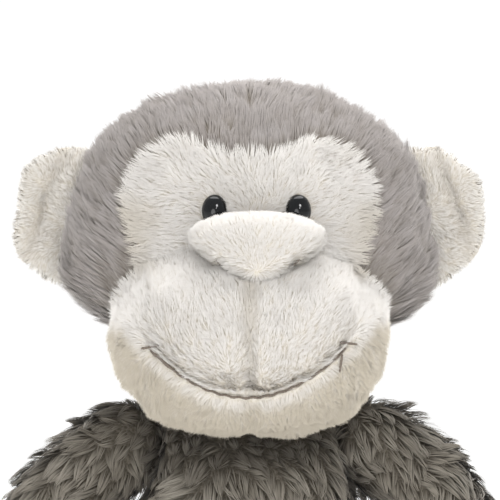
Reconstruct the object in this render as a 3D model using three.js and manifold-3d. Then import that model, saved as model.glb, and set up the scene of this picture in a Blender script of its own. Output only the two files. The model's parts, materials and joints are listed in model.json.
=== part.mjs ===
// A seated stuffed monkey, as the sewn pieces it is made of. Millimetres, +Z up, facing -Y.
// The origin is the middle of the flat seat, on the surface that the toy sits on.
// "left" and "right" are the toy's own: its left side is at +X.
import * as THREE from 'three';
import { mergeVertices } from 'three/addons/utils/BufferGeometryUtils.js';
import Module from 'manifold-3d';

const wasm = await Module();
wasm.setup();

// Fit
const SEAM_GAP = 0.3; // between pieces that are sewn or pressed together
const SWING_GAP = 0.8; // round a ball end that turns in its socket
const SKIN = 4; // plush fabric with its pile pressed flat

// Torso: half widths at given heights, the same all round but for its depth
const TORSO_DEPTH_RATIO = 0.82;
const SEAT_RADIUS = 46;
const HIP_RADIUS = 66;
const HIP_HEIGHT = 50;
const CHEST_RADIUS = 46;
const CHEST_HEIGHT = 158;
const NECK_RADIUS = 36;
const TORSO_TOP = 208;
const SEAT_PANEL_HEIGHT = 13;
const POUCH_HEIGHT = 30; // top of the bag of pellets that weights the seat
const NECK_CORE_RADIUS = 15; // the stuffed ball that joins the head to the torso
const NECK_CORE_BACK = 15;
const NECK_CORE_RAISE = 5; // its centre, over the torso's top
const NECK_TURN_DEG = 15;
const NOD_DEG = 8;

// Head
const HEAD_RISE = 63; // from the torso's top to the head's centre
const HEAD_CENTRE_HEIGHT = TORSO_TOP + HEAD_RISE;
const HEAD_HALF = { x: 71, y: 59, z: 57 };
const FACE_HALF_WIDTH = 48;
const FACE_TOP = 33; // height of the two hairline lobes over the head's centre
const FACE_DIP = 26; // height of the hairline between them
const LOBE_SPACING = 25; // from the middle to a lobe's top
const CHEEK_IN = 36; // half width of the face where it runs in behind the muzzle

// Muzzle, with a stitched smile between the cheeks and the chin
const MUZZLE_HALF = { x: 54, y: 46, z: 37 };
const MUZZLE_FORWARD = 43; // from the head's centre to the muzzle's
const MUZZLE_DROP = 43;
const SMILE_HALF_WIDTH = 40;
const SMILE_CORNER_DROP = 3; // below the muzzle's centre
const SMILE_DEPTH = 20; // from the corners down to the middle
const THREAD_RADIUS = 0.8;

// Nose pad
const NOSE_HALF = { x: 25, y: 20, z: 16 };
const NOSE_DROP = 12; // from the head's centre to the pad's
const NOSE_FORWARD = 65;
const NOSE_TOP = 11; // over the pad's centre
const NOSE_SHIFT = 2.5; // the eyes and the top of the nose sit a little to the left
const NOSE_POINT_DROP = 13; // from the pad's centre to the tip of its V
const NOSTRIL_SPACING = 13.5;
const NOSTRIL_LENGTH = 6;

// Safety eyes and their lock washers
const EYE_SPACING = 15.6;
const EYE_RAISE = 6; // over the head's centre
const EYE_RADIUS = 6;
const EYE_OVAL = 0.78; // width over height
const EYE_DOME = 4.2;
const SHANK_RADIUS = 1.6;
const SHANK_LENGTH = 11;
const WASHER_RADIUS = 6;
const WASHER_THICKNESS = 1.5;

// Ears
const EAR_HALF = { x: 21, y: 8, z: 26 };
const EAR_BACK = 12; // behind the head's centre
const EAR_RAISE = 3.5;
const EAR_INSET = 3; // from the head's widest point in to the ear's root line
const EAR_ROOT_RADIUS = 5.5;
const EAR_ROOT_HALF_HEIGHT = 15;
const EAR_FOLD_DEG = 20;

// Arms
const ARM_RADIUS = 21;
const WRIST_RADIUS = 17;
const SHOULDER = { x: CHEST_RADIUS + 5, y: 2, z: TORSO_TOP - ARM_RADIUS - 1 };
const ARM_REACH = 62; // from the shoulder out to the hand
const ARM_FORWARD = 46;
const ELBOW_OUT = 0.5; // share of the reach where the upper arm starts to bend
const ELBOW_DOWN = 0.17; // and of the drop
const HAND_HALF = { x: 22, y: 20, z: 27 };
const HAND_HEIGHT = HAND_HALF.z + 3; // the hand's middle
const ARM_DROP = SHOULDER.z - HAND_HEIGHT;

// Legs
const LEG_RADIUS = 25;
const HIP = { x: HIP_RADIUS - 26, y: -30, z: LEG_RADIUS + 2 };
const ANKLE_RADIUS = 21;
const LEG_SPREAD = 22;
const LEG_LENGTH = 126;
const FOOT_HALF = { x: 25, y: 25, z: 34 };
const SOLE_DEPTH = 9; // how far the cream sole reaches back from the foot's front
const LEG_RAISE_DEG = 25;
const LEG_DROP_DEG = 50;

// Tail
const TAIL_RADIUS = 9.5;
const TAIL_ROOT = { x: 0, y: HIP_RADIUS * TORSO_DEPTH_RATIO - 2.12, z: 21 };
const TAIL_REACH = 70;
const TAIL_CURL = 52;
const TAIL_SWING_DEG = 35;

const FLOOR_GAP = 1; // limbs that lie on the surface stay this far over it until they settle
const SIDES = 18;
const LIMB_SIDES = 10;
const TIP_SIDES = 10;
const CAP_STEPS = 3;
const LIMB_STEPS = 5;
const SOCKET_OVERSIZE = 1.05; // a faceted socket is drawn this much larger to clear a faceted ball
const FLAT_SAG = 1.6; // the flats of a round solid lie up to this far inside the true curve

const GREY = { color: 0xa09993, roughness: 0.95, metalness: 0 };
const CREAM = { color: 0xdfd9d1, roughness: 0.95, metalness: 0 };
const FILLING = { color: 0xf1efea, roughness: 1, metalness: 0 };
const PELLETS = { color: 0xd8d2c4, roughness: 0.9, metalness: 0 };
const GLOSS_BLACK = { color: 0x070808, roughness: 0.06, metalness: 0 };
const WHITE_PLASTIC = { color: 0xe6e4de, roughness: 0.5, metalness: 0 };
const THREAD = { color: 0x6a5f57, roughness: 0.8, metalness: 0 };

const toy = new THREE.Group();
const sides = [['left', 1], ['right', -1]];

// ---- solids ----

function solidOf(geometry) {
  const bare = geometry.clone();
  bare.deleteAttribute('normal');
  bare.deleteAttribute('uv');
  const merged = mergeVertices(bare, 1e-4);
  return new wasm.Manifold(new wasm.Mesh({
    numProp: 3,
    vertProperties: new Float32Array(merged.attributes.position.array),
    triVerts: new Uint32Array(merged.index.array),
  }));
}

function geometryOf(solid) {
  const mesh = solid.getMesh();
  const geometry = new THREE.BufferGeometry();
  geometry.setAttribute('position', new THREE.BufferAttribute(mesh.vertProperties, 3));
  geometry.setIndex(new THREE.BufferAttribute(mesh.triVerts, 1));
  geometry.computeVertexNormals();
  return geometry;
}

function add(name, solid, material) {
  const mesh = new THREE.Mesh(geometryOf(solid), new THREE.MeshStandardMaterial(material));
  mesh.name = name;
  toy.add(mesh);
}

const join = (first, ...others) => others.reduce((whole, part) => whole.add(part), first);
const cut = (first, ...others) => others.reduce((whole, part) => whole.subtract(part), first);
const vector = ({ x, y, z }) => new THREE.Vector3(x, y, z);
const grown = ({ x, y, z }, by) => ({ x: x + by, y: y + by, z: z + by });
const round = radius => ({ x: radius, y: radius, z: radius });

function ellipsoid(centre, half, segments = SIDES) {
  const ball = new THREE.SphereGeometry(1, segments, Math.round(segments * 0.62));
  ball.rotateX(Math.PI / 2);
  ball.scale(half.x, half.y, half.z);
  ball.translate(centre.x, centre.y, centre.z);
  return solidOf(ball);
}

function box(low, high) {
  const block = new THREE.BoxGeometry(high.x - low.x, high.y - low.y, high.z - low.z);
  block.translate((low.x + high.x) / 2, (low.y + high.y) / 2, (low.z + high.z) / 2);
  return solidOf(block);
}

// All the space on one side of a plane across an axis, far past the toy.
function beyond(axis, from, sign) {
  const far = 1000;
  const low = { x: -far, y: -far, z: -far };
  const high = { x: far, y: far, z: far };
  (sign > 0 ? low : high)[axis] = from;
  return box(low, high);
}

// An outline drawn in X and Z, cut right through from one depth to another.
function throughY(outline, low, high) {
  const block = new THREE.ExtrudeGeometry(outline, {
    depth: high - low,
    bevelEnabled: false,
    curveSegments: 7,
  });
  block.rotateX(Math.PI / 2);
  block.translate(0, high, 0);
  return solidOf(block);
}

// A turned piece whose axis runs along a direction, starting at a point.
function turned(profile, from, direction, segments = SIDES) {
  const points = profile.map(([radius, along]) => new THREE.Vector2(radius, along));
  const lathe = new THREE.LatheGeometry(points, segments);
  const turn = new THREE.Quaternion().setFromUnitVectors(new THREE.Vector3(0, 1, 0), direction);
  lathe.applyQuaternion(turn);
  lathe.translate(from.x, from.y, from.z);
  return solidOf(lathe);
}

function tube(curve, radius, steps, segments = 8) {
  const section = new THREE.Shape();
  section.absarc(0, 0, radius, 0, Math.PI * 2);
  const geometry = new THREE.ExtrudeGeometry(section, {
    extrudePath: curve,
    steps,
    curveSegments: segments / 2,
    bevelEnabled: false,
  });
  return solidOf(geometry);
}

// A round body along a curve with a ball at each end: the rings run from pole to pole.
function limb(points, startRadius, endRadius, across) {
  const curve = new THREE.CatmullRomCurve3(points);
  const rings = [];
  const ring = (centre, along, radius) => rings.push({ centre, along, radius });
  const [start, end] = [curve.getPoint(0), curve.getPoint(1)];
  const [outOf, into] = [curve.getTangent(0), curve.getTangent(1)];
  for (let step = 1; step <= CAP_STEPS; step += 1) {
    const angle = (step / CAP_STEPS) * (Math.PI / 2);
    const back = start.clone().addScaledVector(outOf, -startRadius * Math.cos(angle));
    ring(back, outOf, startRadius * Math.sin(angle));
  }
  for (let step = 1; step < LIMB_STEPS; step += 1) {
    const part = step / LIMB_STEPS;
    const radius = THREE.MathUtils.lerp(startRadius, endRadius, part);
    ring(curve.getPoint(part), curve.getTangent(part), radius);
  }
  for (let step = CAP_STEPS; step >= 1; step -= 1) {
    const angle = (step / CAP_STEPS) * (Math.PI / 2);
    const ahead = end.clone().addScaledVector(into, endRadius * Math.cos(angle));
    ring(ahead, into, endRadius * Math.sin(angle));
  }
  const first = start.clone().addScaledVector(outOf, -startRadius);
  const last = end.clone().addScaledVector(into, endRadius);
  return solidOf(loft(rings, first, last, across));
}

function loft(rings, first, last, across) {
  const places = [];
  for (const { centre, along, radius } of rings) {
    const up = new THREE.Vector3().crossVectors(along, across).normalize();
    const side = new THREE.Vector3().crossVectors(up, along);
    for (let k = 0; k < LIMB_SIDES; k += 1) {
      const angle = (k / LIMB_SIDES) * Math.PI * 2;
      const place = centre.clone();
      place.addScaledVector(side, radius * Math.cos(angle));
      place.addScaledVector(up, radius * Math.sin(angle));
      places.push(...place);
    }
  }
  places.push(...first, ...last);
  const geometry = new THREE.BufferGeometry();
  geometry.setAttribute('position', new THREE.Float32BufferAttribute(places, 3));
  geometry.setIndex(loftFaces(rings.length));
  return geometry;
}

function loftFaces(count) {
  const faces = [];
  const at = (ring, k) => ring * LIMB_SIDES + (k % LIMB_SIDES);
  const firstPole = count * LIMB_SIDES;
  for (let k = 0; k < LIMB_SIDES; k += 1) {
    faces.push(firstPole, at(0, k + 1), at(0, k));
    faces.push(firstPole + 1, at(count - 1, k), at(count - 1, k + 1));
    for (let ring = 0; ring < count - 1; ring += 1) {
      faces.push(at(ring, k), at(ring + 1, k + 1), at(ring + 1, k));
      faces.push(at(ring, k), at(ring, k + 1), at(ring + 1, k + 1));
    }
  }
  return faces;
}

// The space that a straight round limb sweeps as it turns about an axis through its root.
function sweep(root, radius, direction, axis, lowDegrees, highDegrees) {
  const stepDegrees = 25;
  const steps = Math.ceil((highDegrees - lowDegrees) / stepDegrees);
  const reach = 4 * radius;
  const r = (radius + SWING_GAP) / Math.cos(Math.PI / LIMB_SIDES);
  const swept = [ellipsoid(root, round(r), LIMB_SIDES)];
  for (let step = 0; step <= steps; step += 1) {
    const degrees = lowDegrees + ((highDegrees - lowDegrees) * step) / steps;
    const heading = vector(direction).normalize();
    heading.applyAxisAngle(axis, THREE.MathUtils.degToRad(degrees));
    swept.push(turned([[0, 0], [r, 0], [r, reach], [0, reach]], root, heading, LIMB_SIDES));
  }
  return join(...swept);
}

// ---- head ----

const headCentre = { x: 0, y: 0, z: HEAD_CENTRE_HEIGHT };
const muzzleCentre = { x: 0, y: -MUZZLE_FORWARD, z: HEAD_CENTRE_HEIGHT - MUZZLE_DROP };
const noseCentre = {
  x: NOSE_SHIFT,
  y: -NOSE_FORWARD,
  z: HEAD_CENTRE_HEIGHT - NOSE_DROP,
};
const neckCentre = { x: 0, y: NECK_CORE_BACK, z: TORSO_TOP + NECK_CORE_RAISE };
const smileCorner = muzzleCentre.z - SMILE_CORNER_DROP;

const muzzleDepthAt = (x, z) => {
  const across = (x - muzzleCentre.x) / MUZZLE_HALF.x;
  const up = (z - muzzleCentre.z) / MUZZLE_HALF.z;
  return muzzleCentre.y - MUZZLE_HALF.y * Math.sqrt(Math.max(0, 1 - across ** 2 - up ** 2));
};

function hairline(grow) {
  const [w, top, dip] = [FACE_HALF_WIDTH + grow, FACE_TOP + grow, FACE_DIP + grow];
  const lobe = LOBE_SPACING;
  const inward = CHEEK_IN + grow;
  const low = -MUZZLE_DROP / 2;
  const side = (FACE_TOP + low) / 2 + 6;
  const outline = new THREE.Shape();
  outline.moveTo(0, dip);
  outline.bezierCurveTo(lobe * 0.35, dip, lobe * 0.55, top, lobe, top);
  outline.bezierCurveTo(lobe + (w - lobe) * 0.6, top, w, side + (top - side) * 0.6, w, side);
  outline.bezierCurveTo(w, (side + low) / 2, inward + 4, low / 2, inward, low);
  outline.lineTo(-inward, low);
  outline.bezierCurveTo(-inward - 4, low / 2, -w, (side + low) / 2, -w, side);
  outline.bezierCurveTo(-w, side + (top - side) * 0.6, -lobe - (w - lobe) * 0.6, top, -lobe, top);
  outline.bezierCurveTo(-lobe * 0.55, top, -lobe * 0.35, dip, 0, dip);
  return throughY(outline, -HEAD_HALF.y * 2, 0).translate([0, 0, HEAD_CENTRE_HEIGHT]);
}

function chinOutline(grow) {
  const half = SMILE_HALF_WIDTH + grow;
  const below = -MUZZLE_HALF.z * 2;
  const outline = new THREE.Shape();
  outline.moveTo(-half, grow);
  outline.quadraticCurveTo(0, grow - SMILE_DEPTH * 2, half, grow);
  outline.lineTo(half, below);
  outline.lineTo(-half, below);
  outline.closePath();
  return throughY(outline, -200, -MUZZLE_FORWARD / 2).translate([0, 0, smileCorner]);
}

function nosePad(cranium, muzzle) {
  const half = NOSE_HALF.x;
  const waist = -NOSE_POINT_DROP * 0.1;
  const outline = new THREE.Shape();
  outline.moveTo(-half, NOSE_TOP);
  outline.lineTo(half, NOSE_TOP);
  outline.quadraticCurveTo(half, waist, -NOSE_SHIFT, -NOSE_POINT_DROP);
  outline.quadraticCurveTo(-half, waist, -half, NOSE_TOP);
  const column = throughY(outline, -200, -HEAD_HALF.y / 2).translate([noseCentre.x, 0, noseCentre.z]);
  return cut(ellipsoid(noseCentre, NOSE_HALF).intersect(column), cranium, muzzle);
}

function ovalLathe(profile, from, direction, spin) {
  const points = profile.map(([radius, along]) => new THREE.Vector2(radius, along));
  const lathe = new THREE.LatheGeometry(points, spin.segments);
  lathe.scale(spin.oval, 1, 1);
  const turn = new THREE.Quaternion().setFromUnitVectors(new THREE.Vector3(0, 1, 0), direction);
  lathe.applyQuaternion(turn);
  lathe.translate(from.x, from.y, from.z);
  return solidOf(lathe);
}

// A domed oval eye on a round shank, standing on the face panel along its outward direction.
function eyeParts(sign) {
  const x = NOSE_SHIFT + sign * EYE_SPACING;
  const share = 1 - (x / HEAD_HALF.x) ** 2 - (EYE_RAISE / HEAD_HALF.z) ** 2;
  const seat = { x, y: -HEAD_HALF.y * Math.sqrt(share), z: HEAD_CENTRE_HEIGHT + EYE_RAISE };
  const out = new THREE.Vector3(
    x / HEAD_HALF.x ** 2,
    seat.y / HEAD_HALF.y ** 2,
    EYE_RAISE / HEAD_HALF.z ** 2,
  ).normalize();
  const dome = [[0, SEAM_GAP]];
  for (let step = 0; step <= 4; step += 1) {
    const angle = (step / 4) * (Math.PI / 2);
    dome.push([EYE_RADIUS * Math.cos(angle), SEAM_GAP * 3 + EYE_DOME * Math.sin(angle)]);
  }
  dome.splice(1, 0, [EYE_RADIUS * 0.96, SEAM_GAP]);
  dome[dome.length - 1][0] = 0;
  const base = { segments: 16, oval: EYE_OVAL };
  const shank = [[0, -SHANK_LENGTH], [SHANK_RADIUS, -SHANK_LENGTH], [SHANK_RADIUS, 2], [0, 2]];
  const eye = join(ovalLathe(dome, seat, out, base), turned(shank, seat, out, 12));
  const hole = SHANK_RADIUS + SEAM_GAP;
  const low = -SKIN - FLAT_SAG - WASHER_THICKNESS;
  const washer = turned([
    [hole, low], [WASHER_RADIUS, low],
    [WASHER_RADIUS, low + WASHER_THICKNESS], [hole, low + WASHER_THICKNESS], [hole, low],
  ], seat, out, 20);
  const past = SHANK_LENGTH * 2;
  const bore = turned([[0, -past], [hole, -past], [hole, past], [0, past]], seat, out, 12);
  const deep = -SHANK_LENGTH - 1;
  const wide = WASHER_RADIUS + SEAM_GAP;
  const pocket = turned([[0, deep], [wide, deep], [wide, 5], [0, 5]], seat, out, 20);
  return { eye, washer, bore, pocket };
}

// ---- ears ----

function earParts(sign) {
  const root = {
    x: sign * (HEAD_HALF.x - EAR_INSET),
    y: EAR_BACK,
    z: HEAD_CENTRE_HEIGHT + EAR_RAISE,
  };
  const up = new THREE.Vector3(0, 0, 1);
  const post = (radius, half) => turned(
    [[0, -half], [radius, -half], [radius, half], [0, half]], root, up, 12,
  );
  const side = ellipsoid(headCentre, grown(HEAD_HALF, SWING_GAP)).translate([-root.x, -root.y, 0]);
  const clear = [-1, -0.5, 0, 0.5, 1].map(part => (
    side.rotate([0, 0, EAR_FOLD_DEG * part]).translate([root.x, root.y, 0])
  ));
  const flap = cut(ellipsoid(root, EAR_HALF, 14), ...clear);
  const whole = join(flap, post(EAR_ROOT_RADIUS, EAR_ROOT_HALF_HEIGHT));
  const half = SEAM_GAP / 2;
  return {
    front: cut(whole, beyond('y', root.y - half, 1)),
    back: cut(whole, beyond('y', root.y + half, -1)),
    socket: post(EAR_ROOT_RADIUS + SWING_GAP, EAR_ROOT_HALF_HEIGHT + SWING_GAP),
  };
}

function buildHead() {
  const gap = SEAM_GAP;
  const cranium = ellipsoid(headCentre, HEAD_HALF);
  const muzzle = ellipsoid(muzzleCentre, MUZZLE_HALF);
  const hollow = join(
    ellipsoid(headCentre, grown(HEAD_HALF, -SKIN + gap)),
    ellipsoid(muzzleCentre, grown(MUZZLE_HALF, -SKIN + gap)),
  );
  const filling = join(
    ellipsoid(headCentre, grown(HEAD_HALF, -SKIN)),
    ellipsoid(muzzleCentre, grown(MUZZLE_HALF, -SKIN)),
  );
  const scalp = cut(cranium, hollow, ellipsoid(muzzleCentre, grown(MUZZLE_HALF, gap)));
  const snout = cut(muzzle, hollow, cut(ellipsoid(headCentre, grown(HEAD_HALF, -SKIN)), muzzle));
  const eyes = sides.map(([, sign]) => eyeParts(sign));
  const ears = sides.map(([, sign]) => earParts(sign));
  const neckRoom = (NECK_CORE_RADIUS + SWING_GAP) * SOCKET_OVERSIZE;
  const neck = ellipsoid(neckCentre, round(neckRoom));
  const sockets = [neck, ...ears.map(ear => ear.socket)];
  const crown = cut(scalp, hairline(gap), ...sockets);
  add('face_panel', cut(scalp.intersect(hairline(0)), ...eyes.map(eye => eye.bore)), CREAM);
  const cheeks = cut(snout, chinOutline(gap), neck);
  add('chin_panel', cut(snout.intersect(chinOutline(0)), neck), CREAM);
  add('head_stuffing', cut(filling, ...eyes.map(eye => eye.pocket), ...sockets), FILLING);
  const blocked = ellipsoid(headCentre, grown(HEAD_HALF, gap));
  const bulge = ellipsoid(muzzleCentre, grown(MUZZLE_HALF, gap));
  add('nose_pad', nosePad(blocked, bulge), CREAM);
  sides.forEach(([side, sign], k) => {
    const wrongSide = beyond('x', (sign * gap) / 2, -sign);
    add(`crown_${side}`, cut(crown, wrongSide), GREY);
    add(`cheek_${side}`, cut(cheeks, wrongSide), CREAM);
    add(`eye_${side}`, eyes[k].eye, GLOSS_BLACK);
    add(`eye_washer_${side}`, eyes[k].washer, WHITE_PLASTIC);
    add(`ear_${side}_front`, ears[k].front, CREAM);
    add(`ear_${side}_back`, ears[k].back, CREAM);
  });
}

// ---- stitching ----

class SurfaceStitch extends THREE.Curve {
  constructor(placeAt) {
    super();
    this.placeAt = placeAt;
  }

  getPoint(t) {
    return this.placeAt(t);
  }
}

function buildStitching() {
  const stand = THREAD_RADIUS + SEAM_GAP * 2;
  const smile = new SurfaceStitch((t) => {
    const across = t * 2 - 1;
    const x = SMILE_HALF_WIDTH * across;
    const z = smileCorner - SMILE_DEPTH * (1 - across ** 2);
    return new THREE.Vector3(x, muzzleDepthAt(x, z) - stand, z);
  });
  add('mouth_stitch', tube(smile, THREAD_RADIUS, 24, 6), THREAD);
  for (const [side, sign] of sides) {
    const nostril = new SurfaceStitch((t) => {
      const x = noseCentre.x + sign * (NOSTRIL_SPACING - 2 * t);
      const z = noseCentre.z - 1 - NOSTRIL_LENGTH * t;
      const across = (x - noseCentre.x) / NOSE_HALF.x;
      const up = (z - noseCentre.z) / NOSE_HALF.z;
      const bulge = Math.sqrt(1 - across ** 2 - up ** 2);
      const depth = Math.min(noseCentre.y - NOSE_HALF.y * bulge, muzzleDepthAt(x, z));
      return new THREE.Vector3(x, depth - stand, z);
    });
    add(`nostril_stitch_${side}`, tube(nostril, THREAD_RADIUS, 4, 6), THREAD);
  }
}

// ---- torso ----

// The torso turned about Z and flattened front to back, its wall drawn in by inset.
function pear(inset) {
  const outline = new THREE.SplineCurve([
    new THREE.Vector2(SEAT_RADIUS, 0),
    new THREE.Vector2(HIP_RADIUS * 0.92, HIP_HEIGHT * 0.32),
    new THREE.Vector2(HIP_RADIUS, HIP_HEIGHT),
    new THREE.Vector2((HIP_RADIUS + CHEST_RADIUS) / 2 + 2, (HIP_HEIGHT + CHEST_HEIGHT) / 2),
    new THREE.Vector2(CHEST_RADIUS, CHEST_HEIGHT),
    new THREE.Vector2((CHEST_RADIUS + NECK_RADIUS) / 2 + 3, (CHEST_HEIGHT + TORSO_TOP * 2) / 3),
    new THREE.Vector2(NECK_RADIUS, TORSO_TOP),
  ]).getPoints(9);
  const wall = outline.map((p) => {
    const height = THREE.MathUtils.clamp(p.y, inset, TORSO_TOP - inset);
    return new THREE.Vector2(p.x - inset, height);
  });
  const profile = [new THREE.Vector2(0, inset), ...wall, new THREE.Vector2(0, TORSO_TOP - inset)];
  const lathe = new THREE.LatheGeometry(profile, SIDES);
  lathe.rotateX(Math.PI / 2);
  lathe.scale(1, TORSO_DEPTH_RATIO, 1);
  return solidOf(lathe);
}

// The hollow that an arm turns in, about a line across the shoulders: a ball, then a cone.
function shoulderSocket(sign) {
  const radius = ARM_RADIUS + SWING_GAP;
  const lean = Math.atan2(ARM_DROP * ELBOW_DOWN, ARM_REACH * ELBOW_OUT);
  const rim = Math.PI / 2 - lean;
  const profile = [];
  for (let step = 0; step <= CAP_STEPS; step += 1) {
    const angle = (step / CAP_STEPS) * rim;
    profile.push([radius * Math.sin(angle), -radius * Math.cos(angle)]);
  }
  const [edge, inward] = profile[CAP_STEPS];
  const length = radius * 3;
  const mouth = [edge + length * Math.sin(lean), inward + length * Math.cos(lean)];
  profile.push(mouth, [0, mouth[1]]);
  const outward = new THREE.Vector3(sign, 0, 0);
  return turned(profile, { ...SHOULDER, x: sign * SHOULDER.x }, outward, 16);
}

function legDirection(sign) {
  return { x: sign * LEG_SPREAD, y: -LEG_LENGTH, z: 0 };
}

// What moves at the torso's edge, as the space that it needs.
function torsoCuts() {
  const legs = sides.map(([, sign]) => sweep(
    { ...HIP, x: sign * HIP.x },
    LEG_RADIUS,
    legDirection(sign),
    new THREE.Vector3(-1, 0, 0),
    -LEG_DROP_DEG,
    LEG_RAISE_DEG,
  ));
  const swing = TAIL_SWING_DEG;
  const up = new THREE.Vector3(0, 0, 1);
  const tail = sweep(TAIL_ROOT, TAIL_RADIUS, { x: 0, y: 1, z: 0 }, up, -swing, swing);
  const arms = sides.map(([, sign]) => shoulderSocket(sign));
  return [...legs, tail, ...arms, muzzleRoom(0)];
}

// The space that the muzzle sweeps over the chest as the head turns and nods.
function muzzleRoom(lining) {
  const muzzle = ellipsoid(muzzleCentre, grown(MUZZLE_HALF, SWING_GAP + lining));
  const { x, y, z } = neckCentre;
  const centred = muzzle.translate([-x, -y, -z]);
  const swept = [-1, -0.5, 0, 0.5, 1].flatMap(turn => [0, 0.5, 1].map(nod => (
    centred.rotate([NOD_DEG * nod, 0, NECK_TURN_DEG * turn])
  )));
  return wasm.Manifold.hull(swept).translate([x, y, z]);
}

function buildTorso() {
  const half = SEAM_GAP / 2;
  const cuts = torsoCuts();
  const lining = SKIN - SEAM_GAP;
  const skin = cut(pear(0), cut(pear(lining), muzzleRoom(lining)), ...cuts);
  const upper = cut(skin, beyond('z', SEAT_PANEL_HEIGHT + half, -1));
  const back = cut(upper, beyond('y', half, -1));
  const inside = cut(pear(SKIN), muzzleRoom(SKIN), ...cuts);
  add('seat_panel', cut(skin, beyond('z', SEAT_PANEL_HEIGHT - half, 1)), GREY);
  add('belly_panel', cut(upper, beyond('y', -half, 1)), GREY);
  add('back_panel_left', cut(back, beyond('x', half, -1)), GREY);
  add('back_panel_right', cut(back, beyond('x', -half, 1)), GREY);
  add('torso_stuffing', cut(inside, beyond('z', POUCH_HEIGHT + half, -1)), FILLING);
  add('bean_pouch', cut(inside, beyond('z', POUCH_HEIGHT - half, 1)), PELLETS);
  const stub = ellipsoid(neckCentre, round(NECK_CORE_RADIUS));
  add('neck_core', cut(stub, beyond('z', TORSO_TOP + SEAM_GAP, -1)), GREY);
}

// ---- limbs ----

// A stuffed tube with a cover of its own sewn on at its end.
function stuffedLimb({ points, startRadius, endRadius, across, end, endHalf }) {
  const body = inset => limb(points, startRadius - inset, endRadius - inset, across);
  const tip = inset => ellipsoid(end, grown(endHalf, -inset), TIP_SIDES);
  const hollow = join(body(SKIN - SEAM_GAP), tip(SKIN - SEAM_GAP));
  return {
    cover: cut(body(0), tip(-SEAM_GAP), hollow),
    tip: cut(tip(0), hollow),
    filling: join(body(SKIN), tip(SKIN)),
  };
}

function armParts(sign) {
  const at = (out, forward, down) => new THREE.Vector3(
    sign * (SHOULDER.x + ARM_REACH * out),
    SHOULDER.y - ARM_FORWARD * forward,
    SHOULDER.z - ARM_DROP * down,
  );
  return stuffedLimb({
    points: [
      at(0, 0, 0),
      at(ELBOW_OUT, 0.1, ELBOW_DOWN),
      at(0.8, 0.35, 0.42),
      at(0.95, 0.7, 0.7),
      at(1, 0.9, 0.86),
    ],
    startRadius: ARM_RADIUS,
    endRadius: WRIST_RADIUS,
    across: new THREE.Vector3(0, 1, 0),
    end: at(1, 1, 1),
    endHalf: HAND_HALF,
  });
}

function legParts(sign) {
  const low = ANKLE_RADIUS + FLOOR_GAP;
  const at = (out, part) => new THREE.Vector3(
    sign * (HIP.x + LEG_SPREAD * out),
    HIP.y - LEG_LENGTH * part,
    THREE.MathUtils.lerp(HIP.z, low, part),
  );
  const ankle = at(1, 0.9);
  return stuffedLimb({
    points: [at(0, 0), at(0.3, 0.3), at(0.65, 0.6), ankle],
    startRadius: LEG_RADIUS,
    endRadius: ANKLE_RADIUS,
    across: new THREE.Vector3(1, 0, 0),
    end: { x: ankle.x, y: HIP.y - LEG_LENGTH, z: FOOT_HALF.z + FLOOR_GAP },
    endHalf: FOOT_HALF,
  });
}

function buildLimbs() {
  const soleLine = HIP.y - LEG_LENGTH - FOOT_HALF.y + SOLE_DEPTH;
  for (const [side, sign] of sides) {
    const arm = armParts(sign);
    add(`arm_${side}`, arm.cover, GREY);
    add(`hand_${side}`, arm.tip, CREAM);
    add(`arm_stuffing_${side}`, arm.filling, FILLING);
    const leg = legParts(sign);
    add(`leg_${side}`, leg.cover, GREY);
    add(`foot_${side}`, cut(leg.tip, beyond('y', soleLine + SEAM_GAP, -1)), GREY);
    add(`sole_${side}`, cut(leg.tip, beyond('y', soleLine, 1)), CREAM);
    add(`leg_stuffing_${side}`, leg.filling, FILLING);
  }
}

function buildTail() {
  const low = TAIL_RADIUS + FLOOR_GAP;
  const points = [
    vector(TAIL_ROOT),
    new THREE.Vector3(0, TAIL_ROOT.y + TAIL_REACH * 0.45, low + 3),
    new THREE.Vector3(TAIL_CURL * 0.3, TAIL_ROOT.y + TAIL_REACH * 0.9, low),
    new THREE.Vector3(TAIL_CURL, TAIL_ROOT.y + TAIL_REACH, low),
  ];
  add('tail', limb(points, TAIL_RADIUS, TAIL_RADIUS, new THREE.Vector3(0, 0, 1)), GREY);
}

buildHead();
buildStitching();
buildTorso();
buildLimbs();
buildTail();

export default toy;
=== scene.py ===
import json
import math

import bpy
import numpy as np
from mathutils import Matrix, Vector, kdtree
from mathutils.bvhtree import BVHTree

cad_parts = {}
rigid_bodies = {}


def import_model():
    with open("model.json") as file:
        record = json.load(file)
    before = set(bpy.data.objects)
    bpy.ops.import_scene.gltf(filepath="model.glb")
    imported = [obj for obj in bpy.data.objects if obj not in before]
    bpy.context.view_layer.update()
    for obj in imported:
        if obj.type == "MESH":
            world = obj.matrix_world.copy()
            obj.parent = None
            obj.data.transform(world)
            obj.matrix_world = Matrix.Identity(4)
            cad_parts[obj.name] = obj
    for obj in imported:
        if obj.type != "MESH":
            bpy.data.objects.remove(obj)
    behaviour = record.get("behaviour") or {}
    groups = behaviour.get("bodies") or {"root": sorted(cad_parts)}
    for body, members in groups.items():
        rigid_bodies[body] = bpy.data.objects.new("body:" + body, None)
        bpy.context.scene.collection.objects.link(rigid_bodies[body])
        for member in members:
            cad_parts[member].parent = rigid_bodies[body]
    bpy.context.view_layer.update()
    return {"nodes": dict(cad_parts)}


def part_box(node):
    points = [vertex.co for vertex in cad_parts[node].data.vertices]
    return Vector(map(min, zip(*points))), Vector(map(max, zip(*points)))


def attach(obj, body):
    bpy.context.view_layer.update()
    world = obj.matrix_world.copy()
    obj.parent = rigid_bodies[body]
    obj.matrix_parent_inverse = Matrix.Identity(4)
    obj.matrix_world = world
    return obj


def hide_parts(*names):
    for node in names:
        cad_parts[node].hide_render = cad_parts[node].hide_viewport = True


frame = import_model()

mm = 0.001
floorGap = 0.4  # no fibre comes nearer to the floor


# camera, light and stage

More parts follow.
